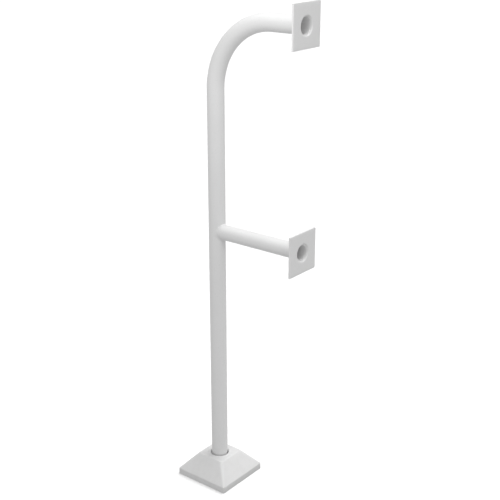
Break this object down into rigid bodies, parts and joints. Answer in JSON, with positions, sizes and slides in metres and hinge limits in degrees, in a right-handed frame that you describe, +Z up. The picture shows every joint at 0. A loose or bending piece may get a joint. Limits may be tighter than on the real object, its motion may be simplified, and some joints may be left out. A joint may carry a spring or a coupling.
{
  "type": "gooseneck access control pedestal",
  "caption": "Floor-standing post with a gooseneck arm and a lower straight arm, each ending in a square device plate with a cable hole, over a sliding pyramid base cover.",
  "frame": {"origin": "on the post's axis at the floor, in the middle of the anchor hole pattern", "axes": "+Z up along the post, +X along both arms towards the front faces of the device plates"},
  "size_m": [0.513, 0.238, 1.9052],
  "materials": {
    "post_coat": "satin",
    "plate_coat": "satin",
    "cover_coat": "satin",
    "weld_coat": "satin"
  },
  "bodies": {
    "pedestal": {"post_tube": "post_coat", "lower_arm_tube": "post_coat", "upper_device_plate": "plate_coat", "lower_device_plate": "plate_coat", "base_plate": "plate_coat", "upper_plate_weld": "weld_coat", "lower_plate_weld": "weld_coat", "lower_arm_weld": "weld_coat", "post_foot_weld": "weld_coat"},
    "cover": {"base_cover": "cover_coat"}
  },
  "joints": [
    {"name": "cover_slide", "type": "slide", "parent": "pedestal", "child": "cover", "axis": [0, 0, 1], "range_m": [0, 0.91]}
  ]
}
